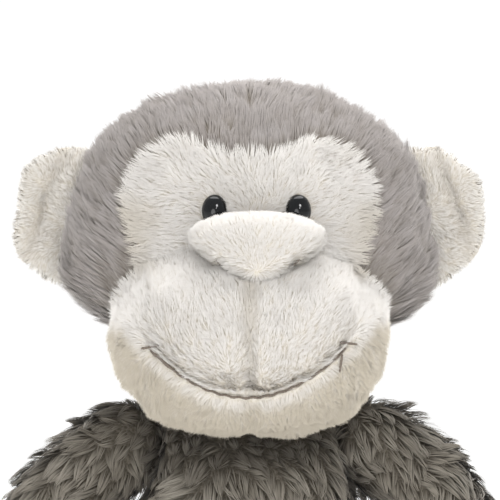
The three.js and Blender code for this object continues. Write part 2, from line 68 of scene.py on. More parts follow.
studio = {
    "target": (0.3, 0.0, 261.2),
    "distance": 1500.0,
    "elevation": 0.0,
    "frameHeight": 193.0,
    "ambient": 0.72,
    "backdrop": 1.05,
    "paper": (0.93, 0.93, 0.92),
    "paperGlow": 0.4,
    "floorHalf": 40.0,
}

# for each light: where it stands, what it points at, its width and its power
lights = {
    "key": ((300, -900, 800), (0, -30, 265), 260, 4.0),
    "fill": ((-250, -1200, 200), (0, -30, 265), 700, 5.0),
    "glint": ((260, -1100, 620), (0, -30, 265), 60, 0.9),
    "top": ((0, 200, 1000), (0, 0, 250), 900, 10.0),
    "back": ((-900, 900, 500), (0, -30, 265), 1000, 12.0),
    "far": ((900, 900, 500), (0, -30, 265), 1000, 12.0),
}


def aim(thing, target):
    heading = Vector(target) - thing.location
    thing.rotation_euler = heading.to_track_quat("-Z", "Y").to_euler()


def areaLight(name, place, target, size, power):
    data = bpy.data.lights.new(name, "AREA")
    data.shape = "DISK"
    data.size = size * mm
    data.energy = power
    light = bpy.data.objects.new(name, data)
    light.location = Vector(place) * mm
    light.visible_camera = False
    aim(light, Vector(target) * mm)
    bpy.context.scene.collection.objects.link(light)


def makeStudio():
    scene = bpy.context.scene
    target = Vector(studio["target"]) * mm
    distance = studio["distance"] * mm
    angle = math.radians(studio["elevation"])
    camera = bpy.data.cameras.new("camera")
    camera.sensor_width = 36
    camera.lens = 36 * distance / (studio["frameHeight"] * mm)
    camera.clip_start = 0.05
    camera.clip_end = 40
    holder = bpy.data.objects.new("camera", camera)
    holder.location = target + Vector((0, -math.cos(angle), math.sin(angle))) * distance
    aim(holder, target)
    scene.collection.objects.link(holder)
    scene.camera = holder
    makeSurroundings(scene)
    for name, (place, spot, size, power) in lights.items():
        areaLight(name, place, spot, size, power)
    makeFloor()
    print("studio: camera, six lights and a paper floor")


# an even pale glow all round, seen a little brighter than it shines
def makeSurroundings(scene):
    world = bpy.data.worlds.new("studio")
    world.use_nodes = True
    nodes, links = world.node_tree.nodes, world.node_tree.links
    back = nodes["Background"]
    back.inputs["Color"].default_value = (1, 1, 1, 1)
    back.inputs["Strength"].default_value = studio["ambient"]
    seen = nodes.new("ShaderNodeBackground")
    seen.inputs["Color"].default_value = (1, 1, 1, 1)
    seen.inputs["Strength"].default_value = studio["backdrop"]
    path = nodes.new("ShaderNodeLightPath")
    mix = nodes.new("ShaderNodeMixShader")
    links.new(path.outputs["Is Camera Ray"], mix.inputs["Fac"])
    links.new(back.outputs["Background"], mix.inputs[1])
    links.new(seen.outputs["Background"], mix.inputs[2])
    links.new(mix.outputs["Shader"], nodes["World Output"].inputs["Surface"])
    scene.world = world
    scene.view_settings.view_transform = "Standard"


# a wide paper floor, as pale as the surroundings
def makeFloor():
    half = studio["floorHalf"]
    mesh = bpy.data.meshes.new("paper_floor")
    corners = [(-half, -half, 0), (half, -half, 0), (half, half, 0), (-half, half, 0)]
    mesh.from_pydata(corners, [], [(0, 1, 2, 3)])
    floor = bpy.data.objects.new("paper_floor", mesh)
    bpy.context.scene.collection.objects.link(floor)
    paper = bpy.data.materials.new("paper")
    paper.use_nodes = True
    shader = paper.node_tree.nodes["Principled BSDF"]
    shader.inputs["Base Color"].default_value = (*studio["paper"], 1)
    shader.inputs["Roughness"].default_value = 0.9
    shader.inputs["Emission Color"].default_value = (1, 1, 1, 1)
    shader.inputs["Emission Strength"].default_value = studio["paperGlow"]
    mesh.materials.append(paper)


makeStudio()


# shapes as distance fields, in millimetres

# smooth random swells about as long as size, from roughly -1 to 1
def waves(points, size, seed, count=9):
    pick = np.random.default_rng(seed)
    total = np.zeros(len(points))
    for _ in range(count):
        heading = pick.normal(size=3)
        heading /= np.linalg.norm(heading)
        turn = 2 * math.pi / (size * pick.uniform(0.7, 1.4))
        total += np.sin(points @ heading * turn + pick.uniform(0, 2 * math.pi))
    return total / math.sqrt(count / 2) / 1.6


def fade(value, low, high):
    t = np.clip((value - low) / (high - low), 0, 1)
    return t * t * (3 - 2 * t)


def unit(vectors):
    return vectors / np.maximum(np.linalg.norm(vectors, axis=-1, keepdims=True), 1e-9)


def ellipsoidField(points, centre, half, power=2.0):
    q = np.abs((points - centre) / half)
    size = (q ** power).sum(1) ** (1 / power)
    return (size - 1) * min(half)


def softUnion(a, b, blend):
    h = np.clip(0.5 + 0.5 * (b - a) / blend, 0, 1)
    return b * (1 - h) + a * h - blend * h * (1 - h)


# a closed ball of quads, close to even in size
def quadBall(n):
    steps = np.tan(np.linspace(-math.pi / 4, math.pi / 4, n + 1))
    u, v = np.meshgrid(steps, steps, indexing="ij")
    one = np.ones_like(u)
    sides = [(u, v, one), (v, u, -one), (one, u, v), (-one, v, u), (v, one, u), (u, -one, v)]
    grid = np.arange((n + 1) ** 2).reshape(n + 1, n + 1)
    quad = np.stack([grid[:-1, :-1], grid[1:, :-1], grid[1:, 1:], grid[:-1, 1:]], -1).reshape(-1, 4)
    points = np.concatenate([np.stack(s, -1).reshape(-1, 3) for s in sides])
    quads = np.concatenate([quad + k * (n + 1) ** 2 for k in range(6)])
    keys = np.round(points, 6)
    _, first, back = np.unique(keys, axis=0, return_index=True, return_inverse=True)
    return unit(points[first]), back.reshape(-1)[quads]


# where each ray from the centre leaves the field's inside
def meetField(field, centre, rays, low, high):
    near = np.full(len(rays), float(low))
    far = np.full(len(rays), float(high))
    for _ in range(22):
        middle = (near + far) / 2
        inside = field(centre + rays * middle[:, None]) < 0
        near = np.where(inside, middle, near)
        far = np.where(inside, far, middle)
    return centre + rays * near[:, None]


def vertexNormals(verts, quads):
    across = np.cross(verts[quads[:, 2]] - verts[quads[:, 0]], verts[quads[:, 3]] - verts[quads[:, 1]])
    total = np.zeros_like(verts)
    for k in range(quads.shape[1]):
        np.add.at(total, quads[:, k], across)
    return unit(total)


def makeObject(name, verts, faces):
    mesh = bpy.data.meshes.new(name)
    mesh.vertices.add(len(verts))
    mesh.vertices.foreach_set("co", (verts * mm).astype(np.float32).ravel())
    corners = faces.shape[1]
    mesh.loops.add(faces.size)
    mesh.loops.foreach_set("vertex_index", faces.astype(np.int32).ravel())
    mesh.polygons.add(len(faces))
    mesh.polygons.foreach_set("loop_start", np.arange(0, faces.size, corners, dtype=np.int32))
    mesh.update(calc_edges=True)
    mesh.polygons.foreach_set("use_smooth", np.full(len(faces), True))
    thing = bpy.data.objects.new(name, mesh)
    bpy.context.scene.collection.objects.link(thing)
    return thing


def boxOf(node):
    low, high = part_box(node)
    return np.array(low) / mm, np.array(high) / mm


# materials

def nodeGroup(name, inputs, outputs):
    group = bpy.data.node_groups.new(name, "ShaderNodeTree")
    for label, kind, value in inputs:
        socket = group.interface.new_socket(label, in_out="INPUT", socket_type=kind)
        if value is not None:
            socket.default_value = value
    for label, kind in outputs:
        group.interface.new_socket(label, in_out="OUTPUT", socket_type=kind)
    return group, group.nodes.new("NodeGroupInput"), group.nodes.new("NodeGroupOutput")


# colour of one fibre: u of its map runs from the darkest fibres to the palest, v from root to tip; a darker
# root colour is painted shade deep in the pile
def fibreGroup():
    group, given, result = nodeGroup(
        "fibre_colour",
        [
            ("Root", "NodeSocketColor", None),
            ("Dark", "NodeSocketColor", None),
            ("Middle", "NodeSocketColor", None),
            ("Pale", "NodeSocketColor", None),
            ("Root Depth", "NodeSocketFloat", 0.4),
        ],
        [("Color", "NodeSocketColor")],
    )
    nodes, links = group.nodes, group.links
    place = nodes.new("ShaderNodeUVMap")
    place.uv_map = "OFBake"
    parts = nodes.new("ShaderNodeSeparateXYZ")
    links.new(place.outputs["UV"], parts.inputs[0])

    def spread(socket, low, high):
        node = nodes.new("ShaderNodeMapRange")
        node.inputs["From Min"].default_value = low
        node.inputs["From Max"].default_value = high
        links.new(socket, node.inputs["Value"])
        return node

    def blend(amount, a, b):
        node = nodes.new("ShaderNodeMix")
        node.data_type = "RGBA"
        links.new(amount, node.inputs["Factor"])
        links.new(a, node.inputs["A"])
        links.new(b, node.inputs["B"])
        return node.outputs["Result"]

    lower = spread(parts.outputs["X"], 0.0, 0.5)
    upper = spread(parts.outputs["X"], 0.5, 1.0)
    along = spread(parts.outputs["Y"], 0.0, 0.5)
    links.new(given.outputs["Root Depth"], along.inputs["From Max"])
    tone = blend(lower.outputs[0], given.outputs["Dark"], given.outputs["Middle"])
    tone = blend(upper.outputs[0], tone, given.outputs["Pale"])
    tone = blend(along.outputs[0], given.outputs["Root"], tone)
    links.new(tone, result.inputs["Color"])
    return group


fibres = fibreGroup()


def fibreMaterial(name, colours):
    material = bpy.data.materials.new(name)
    material.use_nodes = True
    nodes, links = material.node_tree.nodes, material.node_tree.links
    shader = nodes["Principled BSDF"]
    colour = nodes.new("ShaderNodeGroup")
    colour.node_tree = fibres
    for label in ("Root", "Dark", "Middle", "Pale"):
        colour.inputs[label].default_value = (*colours[label.lower()], 1)
    colour.inputs["Root Depth"].default_value = colours["rootDepth"]
    links.new(colour.outputs["Color"], shader.inputs["Base Color"])
    shader.inputs["Roughness"].default_value = 0.85
    shader.inputs["Specular IOR Level"].default_value = 0.12
    shader.inputs["Sheen Weight"].default_value = colours["sheen"]
    shader.inputs["Sheen Roughness"].default_value = 0.5
    return material


# the dark root colours of the grey and body pile are painted shade deep in the pile
greyPile = {
    "root": (0.145, 0.125, 0.10),
    "dark": (0.235, 0.21, 0.19),
    "middle": (0.31, 0.286, 0.274),
    "pale": (0.385, 0.362, 0.352),
    "rootDepth": 0.6,
    "sheen": 0.1,
}
# the body pile is the head's grey fur made darker: painted shade from the head above it
bodyPile = {
    "root": (0.05, 0.042, 0.032),
    "dark": (0.135, 0.12, 0.098),
    "middle": (0.212, 0.193, 0.162),
    "pale": (0.275, 0.255, 0.218),
    "rootDepth": 0.6,
    "sheen": 0.1,
}
creamPile = {
    "root": (0.62, 0.585, 0.535),
    "dark": (0.44, 0.395, 0.32),
    "middle": (0.615, 0.592, 0.562),
    "pale": (0.672, 0.655, 0.633),
    "rootDepth": 0.5,
    "sheen": 0.05,
}
earPile = {
    "root": (0.52, 0.475, 0.41),
    "dark": (0.57, 0.53, 0.47),
    "middle": (0.63, 0.60, 0.555),
    "pale": (0.68, 0.66, 0.625),
    "rootDepth": 0.5,
    "sheen": 0.05,
}
greyFibre = fibreMaterial("grey_fibre", greyPile)
bodyFibre = fibreMaterial("body_fibre", bodyPile)
creamFibre = fibreMaterial("cream_fibre", creamPile)
earFibre = fibreMaterial("ear_fibre", earPile)


# a material with a fine cloudy colour between two tones
def cloudyMaterial(name, scale, low, high, detail=2.0, span=(0.0, 1.0)):
    material = bpy.data.materials.new(name)
    material.use_nodes = True
    nodes, links = material.node_tree.nodes, material.node_tree.links
    place = nodes.new("ShaderNodeTexCoord")
    cloud = nodes.new("ShaderNodeTexNoise")
    cloud.inputs["Scale"].default_value = scale
    cloud.inputs["Detail"].default_value = detail
    links.new(place.outputs["Object"], cloud.inputs["Vector"])
    ramp = nodes.new("ShaderNodeValToRGB")
    for element, tone, position in zip(ramp.color_ramp.elements, (low, high), span):
        element.color = (*tone, 1)
        element.position = position
    links.new(cloud.outputs["Fac"], ramp.inputs["Fac"])
    shader = nodes["Principled BSDF"]
    links.new(ramp.outputs["Color"], shader.inputs["Base Color"])
    return material, shader, cloud


def backingMaterial(name, colours):
    material, shader, cloud = cloudyMaterial(name, 900, colours["root"], colours["dark"], 3.0, (0.3, 0.75))
    nodes, links = material.node_tree.nodes, material.node_tree.links
    bump = nodes.new("ShaderNodeBump")
    bump.inputs["Strength"].default_value = 0.6
    bump.inputs["Distance"].default_value = 0.0004
    links.new(cloud.outputs["Fac"], bump.inputs["Height"])
    links.new(bump.outputs["Normal"], shader.inputs["Normal"])
    shader.inputs["Roughness"].default_value = 0.95
    shader.inputs["Specular IOR Level"].default_value = 0.1
    return material


greyBacking = backingMaterial("grey_backing", greyPile)
creamBacking = backingMaterial("cream_backing", creamPile)


# pile: fibres as tapering ribbons, gathered into tufts and locks

def scatter(verts, quads, count, pick):
    tris = np.concatenate([quads[:, [0, 1, 2]], quads[:, [0, 2, 3]]]) if quads.shape[1] == 4 else quads
    a, b, c = (verts[tris[:, k]] for k in range(3))
    area = np.linalg.norm(np.cross(b - a, c - a), axis=1) / 2
    chosen = pick.choice(len(tris), count, p=area / area.sum())
    u, v = pick.random((2, count))
    flip = u + v > 1
    u, v = np.where(flip, 1 - u, u), np.where(flip, 1 - v, v)
    weights = np.stack([1 - u - v, u, v], 1)[:, :, None]
    return tris[chosen], weights


def surfaceArea(verts, quads):
    across = np.cross(verts[quads[:, 2]] - verts[quads[:, 0]], verts[quads[:, -1]] - verts[quads[:, 1]])
    return np.linalg.norm(across, axis=1).sum() / 2


def even(roots):
    return np.ones(len(roots))


# for each root, its nearest lock and how near it lies to the edge between two locks
def gather(roots, spacing, area, pick):
    count = max(4, int(area / spacing ** 2))
    guides = roots[pick.choice(len(roots), min(count, len(roots)), replace=False)]
    tree = kdtree.KDTree(len(guides))
    for k, guide in enumerate(guides):
        tree.insert(guide, k)
    tree.balance()
    nearest = np.empty(len(roots), np.int32)
    margin = np.empty(len(roots))
    for k, root in enumerate(roots):
        (_, first, d1), (_, _, d2) = tree.find_n(root, 2)
        nearest[k] = first
        margin[k] = d2 - d1
    return guides, nearest, margin / spacing


# keep drops roots that should stay bare, and tint makes fibres paler or darker by place: painted shade, and
# on the cream random spots too
def growPile(name, verts, quads, normals, spec, material, body, seed, keep=None, tint=None):
    pick = np.random.default_rng(seed)
    area = surfaceArea(verts, quads)
    count = int(area * spec["density"] * (1.0))
    tris, weights = scatter(verts, quads, count, pick)
    roots = (verts[tris] * weights).sum(1)
    up = unit((normals[tris] * weights).sum(1))
    if keep is not None:
        stays = keep(roots)
        roots, up = roots[stays], up[stays]
    count = len(roots)
    if not count:
        return

    comb = spec["comb"](roots, up)
    comb = unit(comb - up * (comb * up).sum(1, keepdims=True) + 1e-6)
    side = np.cross(up, comb)
    locks, lock, edge = gather(roots, spec["lock"], area, pick)
    tufts, tuft, _ = gather(roots, spec["tuft"], area, pick)

    turn = pick.normal(0, spec["lockTurn"], len(locks))[lock]
    turn = turn + pick.normal(0, spec["tuftTurn"], len(tufts))[tuft]
    turn += pick.normal(0, spec["stray"], count)
    flow = comb * np.cos(turn)[:, None] + side * np.sin(turn)[:, None]
    raised = pick.normal(0, 0.10, len(tufts))[tuft] + pick.normal(0, 0.08, count)
    raised = spec["lift"] + spec["rough"] * raised
    raised = np.clip(raised, 0.08, 0.98)[:, None]
    start = unit(up * (raised + spec["rootLift"]) + flow * (1 - raised))
    end = unit(up * (raised - spec["droop"]) + flow * (1.1 - raised))

    full = fade(edge, 0.0, spec["lockEdge"])
    length = spec["length"] * (1 - spec["edgeLoss"] * (1 - full))
    length = length * np.clip(pick.normal(1, 0.13, count), 0.5, 1.35)
    length = length * (1 + spec["lockHeight"] * pick.normal(0, 1, len(locks))[lock])
    length = length * spec["lengthAt"](roots)
    length = np.clip(length, spec["length"] * 0.25, spec["length"] * 1.5)[:, None]

    # a tuft's fibres lean towards the tip of its own middle fibre
    middleTip = np.zeros((len(tufts), 3))
    tips = roots + (start * 0.5 + end * 0.5) * length
    share = np.bincount(tuft, minlength=len(tufts))[:, None].clip(1)
    for axis in range(3):
        middleTip[:, axis] = np.bincount(tuft, tips[:, axis], len(tufts))
    middleTip /= share
    pull = (middleTip[tuft] - tips) * spec["gather"]

    steps = np.linspace(0, 1, spec["segments"] + 1)
    spine = [
        roots + length * (start * (t - t * t / 2) + end * (t * t / 2)) + pull * t ** 1.6
        for t in steps
    ]
    roll = pick.normal(0, spec["roll"], count)[:, None]
    heading = unit(spine[-1] - spine[0])
    flat = unit(np.cross(heading, up))
    width = unit(flat * np.cos(roll) + np.cross(heading, flat) * np.sin(roll))
    wide = spec["width"] * np.clip(pick.normal(1, 0.2, count), 0.5, 1.6)[:, None] / 2

    rows = []
    for t, point in zip(steps[:-1], spine[:-1]):
        narrow = 1 - 0.75 * t ** 1.5
        rows += [point - width * wide * narrow, point + width * wide * narrow]
    rows.append(spine[-1])
    places = np.stack(rows, 1)
    places[..., 2] = np.maximum(places[..., 2], floorGap)
    perFibre = places.shape[1]
    base = np.arange(count)[:, None] * perFibre
    faces = []
    for k in range(spec["segments"] - 1):
        faces += [base + [2 * k, 2 * k + 1, 2 * k + 3], base + [2 * k, 2 * k + 3, 2 * k + 2]]
    faces.append(base + [perFibre - 3, perFibre - 2, perFibre - 1])
    faces = np.stack(faces, 1).reshape(-1, 3)

    mottle = 0.12 * pick.normal(0, 1, len(locks))[lock] + 0.07 * pick.normal(0, 1, len(tufts))[tuft]
    mottle += 0.10 * pick.normal(0, 1, count)
    # fibres at the edge between two locks are darker: painted shade in the partings
    tone = 0.5 + spec["mottle"] * mottle - spec["partingShade"] * (1 - full)
    # tint adds painted shade by place, and random spots on the cream
    if tint is not None:
        tone += tint(roots)
    tone = np.clip(tone, 0.02, 0.98)
    thing = makeObject(name, places.reshape(-1, 3), faces)
    if spec["evened"]:
        own = unit(np.cross(width, heading))
        shade(thing, up * spec["evened"] + own * (1 - spec["evened"]), perFibre)
    paint(thing, tone, steps, faces)
    thing.data.materials.append(material)
    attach(thing, body)


# the map that the fibre colour reads: across for how pale the fibre is, up for root to tip
def paint(thing, tone, steps, faces):
    narrow = 0.004
    along = np.concatenate([np.repeat(steps[:-1], 2), steps[-1:]])
    lean = np.concatenate([np.tile([-narrow, narrow], len(steps) - 1), [0]])
    u = tone[:, None] + lean[None, :]
    v = np.broadcast_to(0.02 + 0.96 * along, u.shape)
    uv = np.stack([u, v], -1).reshape(-1, 2)[faces.ravel()]
    layer = thing.data.uv_layers.new(name="OFBake")
    layer.data.foreach_set("uv", uv.astype(np.float32).ravel())


# a fibre takes most of its light as the skin under it does
def shade(thing, soft, perFibre):
    normals = np.repeat(unit(soft), perFibre, axis=0)
    thing.data.normals_split_custom_set_from_vertices(normals.astype(np.float32))


# pelts: cut from a base surface and given a thickness

def keepModifiers(thing):
    depsgraph = bpy.context.evaluated_depsgraph_get()
    fresh = bpy.data.meshes.new_from_object(thing.evaluated_get(depsgraph))
    thing.modifiers.clear()
    old = thing.data
    thing.data = fresh
    bpy.data.meshes.remove(old)
    fresh.polygons.foreach_set("use_smooth", [True] * len(fresh.polygons))


def pelt(name, verts, faces, thickness, material, body, nodes):
    used, index = np.unique(faces, return_inverse=True)
    thing = makeObject(name, verts[used], index.reshape(faces.shape))
    shell = thing.modifiers.new("thickness", "SOLIDIFY")
    shell.thickness = thickness * mm
    shell.offset = -1
    keepModifiers(thing)
    thing.data.materials.append(material)
    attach(thing, body)
    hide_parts(*nodes)


# head: a cranium and a muzzle under one skin

head = {
    "backing": 4.4,
    "muzzleBacking": 3.4,
    "join": 12.0,
    "jowl": 0.13,
    "core": (0, -16, 257),
    "detail": 84,
    "thickness": 2.4,
    "smileHalf": 38.0,
    "smileTop": 227.0,
    "smileDepth": 20.0,
    "smileGroove": 2.2,
    "smileWidth": 2.6,
    "seamGroove": 1.8,
    "seamWidth": 2.4,
    "cheekPuff": 2.2,
    "foreheadCrease": 1.5,
    "socket": 1.8,
    "socketWidth": 8.5,
    "lumps": 0.9,
}

craniumCentre = np.array([0.0, 0.0, 271.0])
craniumHalf = np.array([71.0, 59.0, 57.0]) - head["backing"]
muzzleCentre = np.array([0.0, -43.0, 228.0])
muzzleHalf = np.array([54.0, 46.0, 37.0]) - head["muzzleBacking"]
eyes = np.array([[-12.9, 275.8], [18.3, 275.8]])


# the sides hang a little fuller below the ears
def craniumField(points):
    full = 1 + head["jowl"] * np.exp(-(((points[:, 2] - 244) / 20) ** 2))
    narrowed = points / np.stack([full, np.ones_like(full), np.ones_like(full)], 1)
    return ellipsoidField(narrowed, craniumCentre, craniumHalf, 2.12)


def muzzleField(points):
    return ellipsoidField(points, muzzleCentre, muzzleHalf, 2.15)


def headField(points):
    return softUnion(craniumField(points), muzzleField(points), head["join"])


def smileHeight(x):
    share = np.clip(x / head["smileHalf"], -1.2, 1.2)
    return head["smileTop"] - head["smileDepth"] * (1 - share ** 2) + 0.02 * x


# the cream face, seen from the front: two lobes over straight sides that narrow downward
def hairlineInside(x, z):
    out = np.abs(x)
    lobe = 295.5 + 6.0 * np.exp(-(((out - 25) / 10.5) ** 2))
    shoulder = 277 + 24.5 * np.sqrt(np.clip(1 - (np.clip(out - 25, 0, 20.6) / 21) ** 2, 0, 1))
    top = np.where(out < 25, lobe, shoulder)
    side = np.where(z > 277, 45.5, 45.5 - 0.25 * (277 - z))
    return (z < top) & (out < side)


def headShape():
    rays, quads = quadBall(head["detail"])
    core = np.array(head["core"], float)
    verts = meetField(headField, core, rays, 10, 120)
    up = vertexNormals(verts, quads)
    x, y, z = verts.T
    front = fade(-y, 20, 45)
    onMuzzle = fade(craniumField(verts) - muzzleField(verts), 0, 5)
    slope = 2 * head["smileDepth"] * x / head["smileHalf"] ** 2
    away = np.abs(z - smileHeight(x)) / np.sqrt(1 + slope ** 2)
    reach = 1 - fade(np.abs(x), head["smileHalf"] - 3, head["smileHalf"] + 2)
    puff = onMuzzle * front * head["cheekPuff"] * fade(away, 0, 16) * (1 - fade(away, 16, 34))
    height = puff * reach
    height -= head["smileGroove"] * np.exp(-((away / head["smileWidth"]) ** 2)) * reach * front * onMuzzle
    middle = np.exp(-((x / head["seamWidth"]) ** 2))
    between = fade(z, smileHeight(x) - 1, smileHeight(x) + 2) * (1 - fade(z, 246, 252))
    height -= head["seamGroove"] * middle * between * front * onMuzzle
    below = 1 - fade(z, smileHeight(x) - 4, smileHeight(x))
    height -= 0.5 * head["seamGroove"] * middle * below * onMuzzle
    crease = np.exp(-(((np.abs(x - 2) - (z - 312) * 0.28) / 2.2) ** 2)) * fade(z, 308, 316) * front
    height -= head["foreheadCrease"] * crease * (1 - onMuzzle)
    for eyeX, eyeZ in eyes:
        gap = np.hypot(x - eyeX, (z - eyeZ) * 0.85)
        height -= head["socket"] * np.exp(-((gap / head["socketWidth"]) ** 2)) * front
    height += head["lumps"] * waves(verts, 34, 11)
    height += 0.4 * waves(verts, 13, 12)
    verts = verts + up * height[:, None]
    return verts, quads, vertexNormals(verts, quads)


def headPanels(verts, quads):
    centre = verts[quads].mean(1)
    x, y, z = centre.T
    muzzle = muzzleField(centre) < craniumField(centre)
    chin = muzzle & (np.abs(x) < head["smileHalf"] + 1) & (z < smileHeight(x))
    chin |= muzzle & (z < 205)
    face = ~muzzle & (y < -5) & (z > 240) & hairlineInside(x, z)
    cheeks = muzzle & ~chin
    crown = ~muzzle & ~face
    return {
        "chin_panel": chin,
        "face_panel": face,
        "cheek_left": cheeks & (x >= 0),
        "cheek_right": cheeks & (x < 0),
        "crown_left": crown & (x >= 0),
        "crown_right": crown & (x < 0),
    }


# the grey is brushed up and back from the face, and falls down the back of the head
def combCrown(roots, up):
    x, y, z = roots.T
    behind = fade(y, -5, 35)
    rise = 0.75 * (1 - behind) - 0.9 * behind
    out = 0.012 * (x - 2) * (1 - 0.6 * behind)
    flow = np.stack([out, 0.55 + 0.2 * behind, rise], 1)
    flow[:, 0] += 0.16 * waves(roots, 60, 21)
    flow[:, 1] += 0.12 * waves(roots, 50, 22)
    flow[:, 2] += 0.14 * waves(roots, 44, 23)
    return flow


def combFace(roots, up):
    x, y, z = roots.T
    flow = np.stack([x - 2.5, np.full_like(x, -4.0), z - 270], 1)
    flow = unit(flow)
    flow[:, 0] += 0.3 * waves(roots, 16, 31)
    flow[:, 2] += 0.3 * waves(roots, 16, 32)
    return flow


def combMuzzle(roots, up):
    x, y, z = roots.T
    above = fade(z - smileHeight(x), -6, 6)
    flow = unit(np.stack([0.6 * x, y + 70, 36 * (2 * above - 1)], 1))
    flow[:, 0] += 0.22 * waves(roots, 22, 41)
    flow[:, 2] += 0.22 * waves(roots, 22, 42)
    return flow


# here and there the locks part and show what is under them
def crownParting(roots):
    return 1 - 0.45 * fade(waves(roots, 24, 24), 0.9, 1.6)


crownPile = {
    "density": 3.1, "length": 12.0, "width": 0.30, "segments": 2, "roll": 0.12, "rough": 0.45,
    "lift": 0.18, "rootLift": 0.1, "droop": 0.15, "comb": combCrown, "mottle": 0.35, "lengthAt": crownParting,
    "lock": 9.0, "tuft": 3.4, "lockTurn": 0.12, "tuftTurn": 0.07, "stray": 0.05,
    "evened": 0.5, "lockEdge": 0.45, "edgeLoss": 0.28, "lockHeight": 0.05, "gather": 0.4, "partingShade": 0.18,
}


# the cream grows longer along the hairline
def faceRim(roots):
    x, y, z = roots.T
    well = hairlineInside(1.12 * x, z + 4.0)
    return np.where(well, 1.0, 1.45)


facePile = {
    "density": 3.8, "length": 4.6, "width": 0.26, "segments": 2, "roll": 0.12, "rough": 0.4,
    "lift": 0.38, "rootLift": 0.35, "droop": 0.1, "comb": combFace, "mottle": 0.13, "lengthAt": faceRim,
    "lock": 6.0, "tuft": 2.4, "lockTurn": 0.25, "tuftTurn": 0.2, "stray": 0.2,
    "evened": 0.9, "lockEdge": 0.4, "edgeLoss": 0.12, "lockHeight": 0.03, "gather": 0.25, "partingShade": 0.04,
}
muzzlePile = dict(facePile, comb=combMuzzle, length=4.2, density=3.6, lengthAt=even)


# the grey stops short of the cream, whose tips lie over it
def crownClear(roots):
    x, y, z = roots.T
    return (y > 0) | ~hairlineInside(x * 0.985, z - 0.8)


def eyeClear(roots):
    clear = np.ones(len(roots), bool)
    for eyeX, eyeZ in eyes:
        clear &= np.hypot((roots[:, 0] - eyeX) / 4.4, (roots[:, 2] - eyeZ) / 5.6) > 1.0
    return clear | (roots[:, 1] > -20)


def smileClear(roots):
    x, y, z = roots.T
    slope = 2 * head["smileDepth"] * x / head["smileHalf"] ** 2
    away = np.abs(z - smileHeight(x)) / np.sqrt(1 + slope ** 2)
    return ~((away < 0.9) & (np.abs(x) < head["smileHalf"]) & (y < -30))


# the cream gets random darker spots, and painted shade in the seam groove, on the chin under the smile and at
# the sides of the face
def creamSpotsAndShade(roots):
    x, y, z = roots.T
    # painted shade in the seam groove below the nose
    seam = np.exp(-((x / 3.5) ** 2)) * (z < 250) * (y < -60)
    spots = np.clip(waves(roots, 26, 51) - 0.9, 0, 1)
    # painted shade on the chin under the smile, where it faces down
    chin = 0.75 * fade(smileHeight(x) - z, -2, 8)
    # painted shade at the sides of the face, level with the eyes
    edge = 0.4 * fade(np.abs(x - 1), 26, 44) * fade(z, 244, 256) * (1 - fade(z, 272, 288))
    return 0.12 - 0.30 * seam - 0.2 * spots - chin - edge


def makeHead():
    verts, quads, up = headShape()
    panels = headPanels(verts, quads)
    seed = 100
    for name, faces in panels.items():
        seed += 1
        grey = name.startswith("crown")
        backing = greyBacking if grey else creamBacking
        pelt(name + "_pelt", verts, quads[faces], head["thickness"], backing, "head", [name])
        spec = crownPile if grey else facePile if name == "face_panel" else muzzlePile
        keep = crownClear if grey else eyeClear if name == "face_panel" else smileClear
        growPile(
            name + "_pile", verts, quads[faces], up, spec,
            greyFibre if grey else creamFibre, "head", seed, keep, None if grey else creamSpotsAndShade,
        )
    print("head: six panels and their pile")
    return verts


headVerts = makeHead()


# nose pad: a small rounded triangle of a pillow under the eyes

nose = {
    "centre": (3.0, -64.0, 259.5),
    "half": (27.0, 18.0, 14.5),
    "lean": (0.539, -0.842),
    "reach": 10.5,
    "round": 6.0,
    "core": (3.0, -62.0, 262.0),
    "detail": 30,
    "thickness": 2.0,
    "nostrilGroove": 1.0,
}


def noseField(points):
    across = points - np.array(nose["centre"])
    field = ellipsoidField(points, np.array(nose["centre"]), np.array(nose["half"]), 2.4)
    lean, drop = nose["lean"]
    for sign in (1, -1):
        edge = sign * across[:, 0] * lean + across[:, 2] * drop - nose["reach"]
        field = -softUnion(-field, -edge, nose["round"])
    return field


def combNose(roots, up):
    x, y, z = roots.T
    flow = unit(np.stack([0.6 * (x - 3), np.full_like(x, 4.0), z - 251], 1))
    flow[:, 0] += 0.2 * waves(roots, 18, 61)
    flow[:, 2] += 0.2 * waves(roots, 18, 62)
    return flow


nosePile = dict(
    muzzlePile, comb=combNose, density=4.6, length=3.2, width=0.24, gather=0.25, tuft=2.0, edgeLoss=0.1,
)


# painted shade by the nostril grooves and along the lower edge of the nose pad
def noseShade(roots):
    x, z = roots[:, 0] - nose["centre"][0], roots[:, 2] - nose["centre"][2]
    nostrilShade = np.exp(-(((np.abs(x) - 14) / 2.2) ** 2) - ((z + 5) / 4.0) ** 2)
    return 0.12 - 0.55 * nostrilShade - 0.25 * fade(-z, 7, 14)


def makeNose():
    rays, quads = quadBall(nose["detail"])
    verts = meetField(noseField, np.array(nose["core"]), rays, 2, 60)
    up = vertexNormals(verts, quads)
    x, z = verts[:, 0] - nose["centre"][0], verts[:, 2] - nose["centre"][2]
    for sign in (1, -1):
        away = np.hypot((x - sign * 13) / 1.6, (z + 4) / 3.4)
        verts = verts - up * (nose["nostrilGroove"] * np.exp(-(away ** 2)))[:, None]
    up = vertexNormals(verts, quads)
    pelt("nose_pad_pelt", verts, quads, nose["thickness"], creamBacking, "head", ["nose_pad"])
    growPile(
        "nose_pad_pile", verts, quads, up, nosePile, creamFibre, "head", 140,
        lambda roots: roots[:, 1] < -52, noseShade,
    )
    print("nose pad")


makeNose()


# ears: a front and a back pelt sewn round the rim, dished where they meet the head

ear = {
    "half": (22.5, 6.5, 25.5),
    "centre": (68.0, 12.0, 274.5),
    "dish": 4.5,
    "dishAt": (7.0, -2.0),
    "dishSize": 10.0,
    "curl": 5.0,
    "crease": 2.2,
    "detail": 30,
    "thickness": 1.8,
}


